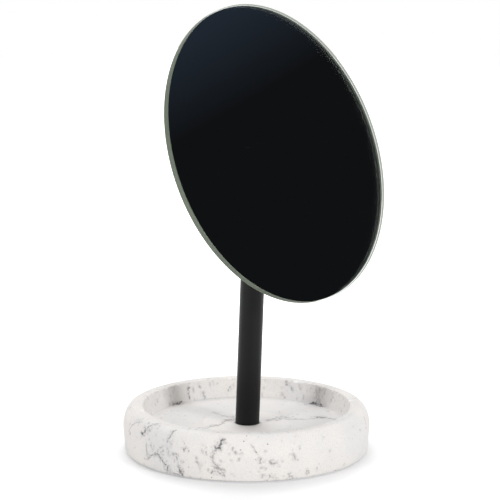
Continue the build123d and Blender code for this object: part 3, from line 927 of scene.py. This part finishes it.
def looked_at(tree):
    """1 for a ray from the camera, off metal or through glass, and 0 for the light that falls on things."""
    ray = add_node(tree, "LightPath")
    shiny = add_node(tree, "Math", {0: ray.outputs["Is Glossy Ray"], 1: ray.outputs["Is Transmission Ray"]},
                     operation="ADD")
    return add_node(tree, "Math", {0: ray.outputs["Is Camera Ray"], 1: shiny.outputs[0]},
                    operation="ADD", use_clamp=True).outputs[0]


# %% Glow that grows away from the tray
near_glow, far_glow = 0.12, 1.05
near, far, sideways_share = 85.0, 400.0, 0.4
photo_azimuth = math.radians(-48.3)
picture_right = Vector((math.cos(photo_azimuth), math.sin(photo_azimuth), 0))

to_right = add_node(tree, "VectorMath", {
    0: millimetres, 1: sideways_share * picture_right,
}, operation="DOT_PRODUCT")
sideways = add_node(tree, "Math", {0: to_right.outputs["Value"]}, operation="ABSOLUTE")
from_middle = add_node(tree, "VectorMath", {0: millimetres}, operation="LENGTH")
away_from_tray = add_node(tree, "Math", {
    0: from_middle.outputs["Value"], 1: sideways.outputs[0],
}, operation="ADD")
farness = add_node(tree, "MapRange", {
    "Value": away_from_tray.outputs[0], "From Min": near, "From Max": far,
    "To Min": near_glow, "To Max": far_glow,
})
glow = add_node(tree, "Math", {0: looked_at(tree), 1: farness.outputs[0]}, operation="MULTIPLY")
light = add_node(tree, "Emission", {"Strength": glow.outputs[0]})
both = add_node(tree, "AddShader", {0: shader.outputs[0], 1: light.outputs[0]})
tree.links.new(both.outputs[0], tree.nodes["Material Output"].inputs["Surface"])
table_mesh.materials.append(paper)
print("The glow grows from", near_glow, "to", far_glow)

# %% White room
world = bpy.data.worlds.new("white_room")
bpy.context.scene.world = world
world.use_nodes = True
tree = world.node_tree
tree.nodes.clear()
room_light = 0.55
level = add_node(tree, "MapRange", {"Value": looked_at(tree), "To Min": room_light, "To Max": 1.0})
sky = add_node(tree, "Background", {"Color": linear("#FFFFFF"), "Strength": level.outputs[0]})
add_node(tree, "OutputWorld", {"Surface": sky.outputs[0]})
print("The room lights the object at", room_light, "and looks white")

# %% [markdown]
# ## What the mirror sees
#
# A mirror photographed in a white room would be white, and lost on a white page. The photographer therefore
# hangs a dark curtain in front of it, behind and around the camera, so that the glass shows nothing but
# dark. Here the curtain is part of a large globe that is not lit but glows with a dim painted light, a
# little lighter towards its top, and this painted glow is the reflection that the mirror shows. Only
# reflections see it: it throws no shadow, and the cameras look through it.

# %% The curtain's shape
curtain_radius, curtain_foot = 2.3, 0.2
sweep = np.radians(np.linspace(-112, 112, 57))
rise = np.radians(np.linspace(-2, 86, 23))
curtain_points = [
    (curtain_radius * math.cos(up) * math.sin(way), -curtain_radius * math.cos(up) * math.cos(way),
     curtain_foot + curtain_radius * math.sin(up))
    for up in rise for way in sweep
]
wide = len(sweep)
curtain_faces = [
    (row * wide + k, row * wide + k + 1, (row + 1) * wide + k + 1, (row + 1) * wide + k)
    for row in range(len(rise) - 1) for k in range(wide - 1)
]
curtain_mesh = bpy.data.meshes.new("dark_curtain")
curtain_mesh.from_pydata(curtain_points, [], curtain_faces)
curtain = bpy.data.objects.new("dark_curtain", curtain_mesh)
bpy.context.scene.collection.objects.link(curtain)
for kind_of_ray in ("camera", "diffuse", "shadow", "volume_scatter"):
    setattr(curtain, "visible_" + kind_of_ray, False)
print("The curtain is", curtain_radius, "m away, in", len(curtain_faces), "panels")

# %% The curtain's painted glow, a little lighter above
lighter_from, lighter_at = 1.06, 1.25
velvet_glow = bpy.data.materials.new("dark_velvet_glow")
velvet_glow.use_nodes = True
tree = velvet_glow.node_tree
tree.nodes.clear()
place = add_node(tree, "TexCoord")
height = add_node(tree, "SeparateXYZ", {0: place.outputs["Object"]})
lift = add_node(tree, "MapRange", {
    "Value": height.outputs["Z"], "From Min": lighter_from, "From Max": lighter_at,
})
# Painted light: the curtain glows with these dim colours instead of being lit, lighter towards its top.
shade = add_node(tree, "Mix", {
    FACTOR: lift.outputs[0], FIRST: linear("#121315"), SECOND: linear("#272F3A"),
}, data_type="RGBA")
dark = add_node(tree, "Emission", {"Color": shade.outputs[MIXED]})
add_node(tree, "OutputMaterial", {"Surface": dark.outputs[0]})
curtain_mesh.materials.append(velvet_glow)
print("The velvet gets lighter from", lighter_from, "m up")

# %% [markdown]
# ## Lamps
#
# Two softboxes stand low to the left and right of the camera. The post's two soft shadows on the wall of
# the dish tell where they are, because each shadow points away from its lamp. A wide lamp high up behind
# the mirror lights the rim and the dish, and draws the soft shadow on the table in front of the tray. It
# hangs in the plane of the glass, so the mirror is edge-on to it and hardly shades the dish. A lamp
# straight above would put the mirror's shadow there.

# %% A lamp that faces the tray
def softbox(name, azimuth, elevation, distance, side, level):
    """A square lamp that faces the tray. Its level is how bright a white surface turned to it becomes."""
    lamp = bpy.data.lights.new(name, "AREA")
    lamp.size = side
    lamp.energy = level * math.pi ** 2 * distance ** 2
    holder = bpy.data.objects.new(name, lamp)
    azimuth, elevation = math.radians(azimuth), math.radians(elevation)
    away = Vector((math.cos(azimuth) * math.cos(elevation), math.sin(azimuth) * math.cos(elevation),
                   math.sin(elevation)))
    holder.location = away * distance
    holder.rotation_euler = away.to_track_quat("Z", "Y").to_euler()
    holder.visible_camera = False
    holder.visible_transmission = False
    bpy.context.scene.collection.objects.link(holder)
    print("Lamp:", name, "- watts:", round(lamp.energy, 1))


# %% Softboxes and overhead lamp
softbox("softbox_right", azimuth=-91.5, elevation=20, distance=2.0, side=0.35, level=0.35)
softbox("softbox_left", azimuth=174.7, elevation=20, distance=2.0, side=0.35, level=0.21)
softbox("overhead", azimuth=50, elevation=64, distance=2.0, side=1.2, level=0.44)

# %% [markdown]
# ## The camera
#
# The photograph is 500 pixels wide. Fitting a pinhole camera to the outlines of the mirror, the post and
# the tray gave a focal length of 1800 pixels, a distance of 1.22 m and a view from the front left, 10
# degrees above level.

# %% Camera
# Both in pixels, and the width of a full-frame sensor in millimetres.
picture_width, focal_length = 500, 1800
full_frame = 36.0
camera_elevation, camera_roll = math.radians(10.067), math.radians(0.136)
camera_distance = 1.224
camera_aim = Vector((18.93, 14.02, 132.12)) * MM

lens = bpy.data.cameras.new("camera")
lens.sensor_width = full_frame
lens.lens = focal_length / picture_width * lens.sensor_width
camera = bpy.data.objects.new("camera", lens)
bpy.context.scene.collection.objects.link(camera)
back = Vector((
    math.sin(photo_azimuth) * math.cos(camera_elevation),
    -math.cos(photo_azimuth) * math.cos(camera_elevation),
    math.sin(camera_elevation),
))
upright = back.to_track_quat("Z", "Y").to_matrix().to_4x4()
camera.matrix_world = (
    Matrix.Translation(camera_aim + back * camera_distance) @ upright @ Matrix.Rotation(camera_roll, 4, "Z")
)
bpy.context.scene.camera = camera
bpy.context.scene.view_settings.view_transform = "Standard"
print("Lens:", round(lens.lens, 1), "mm")
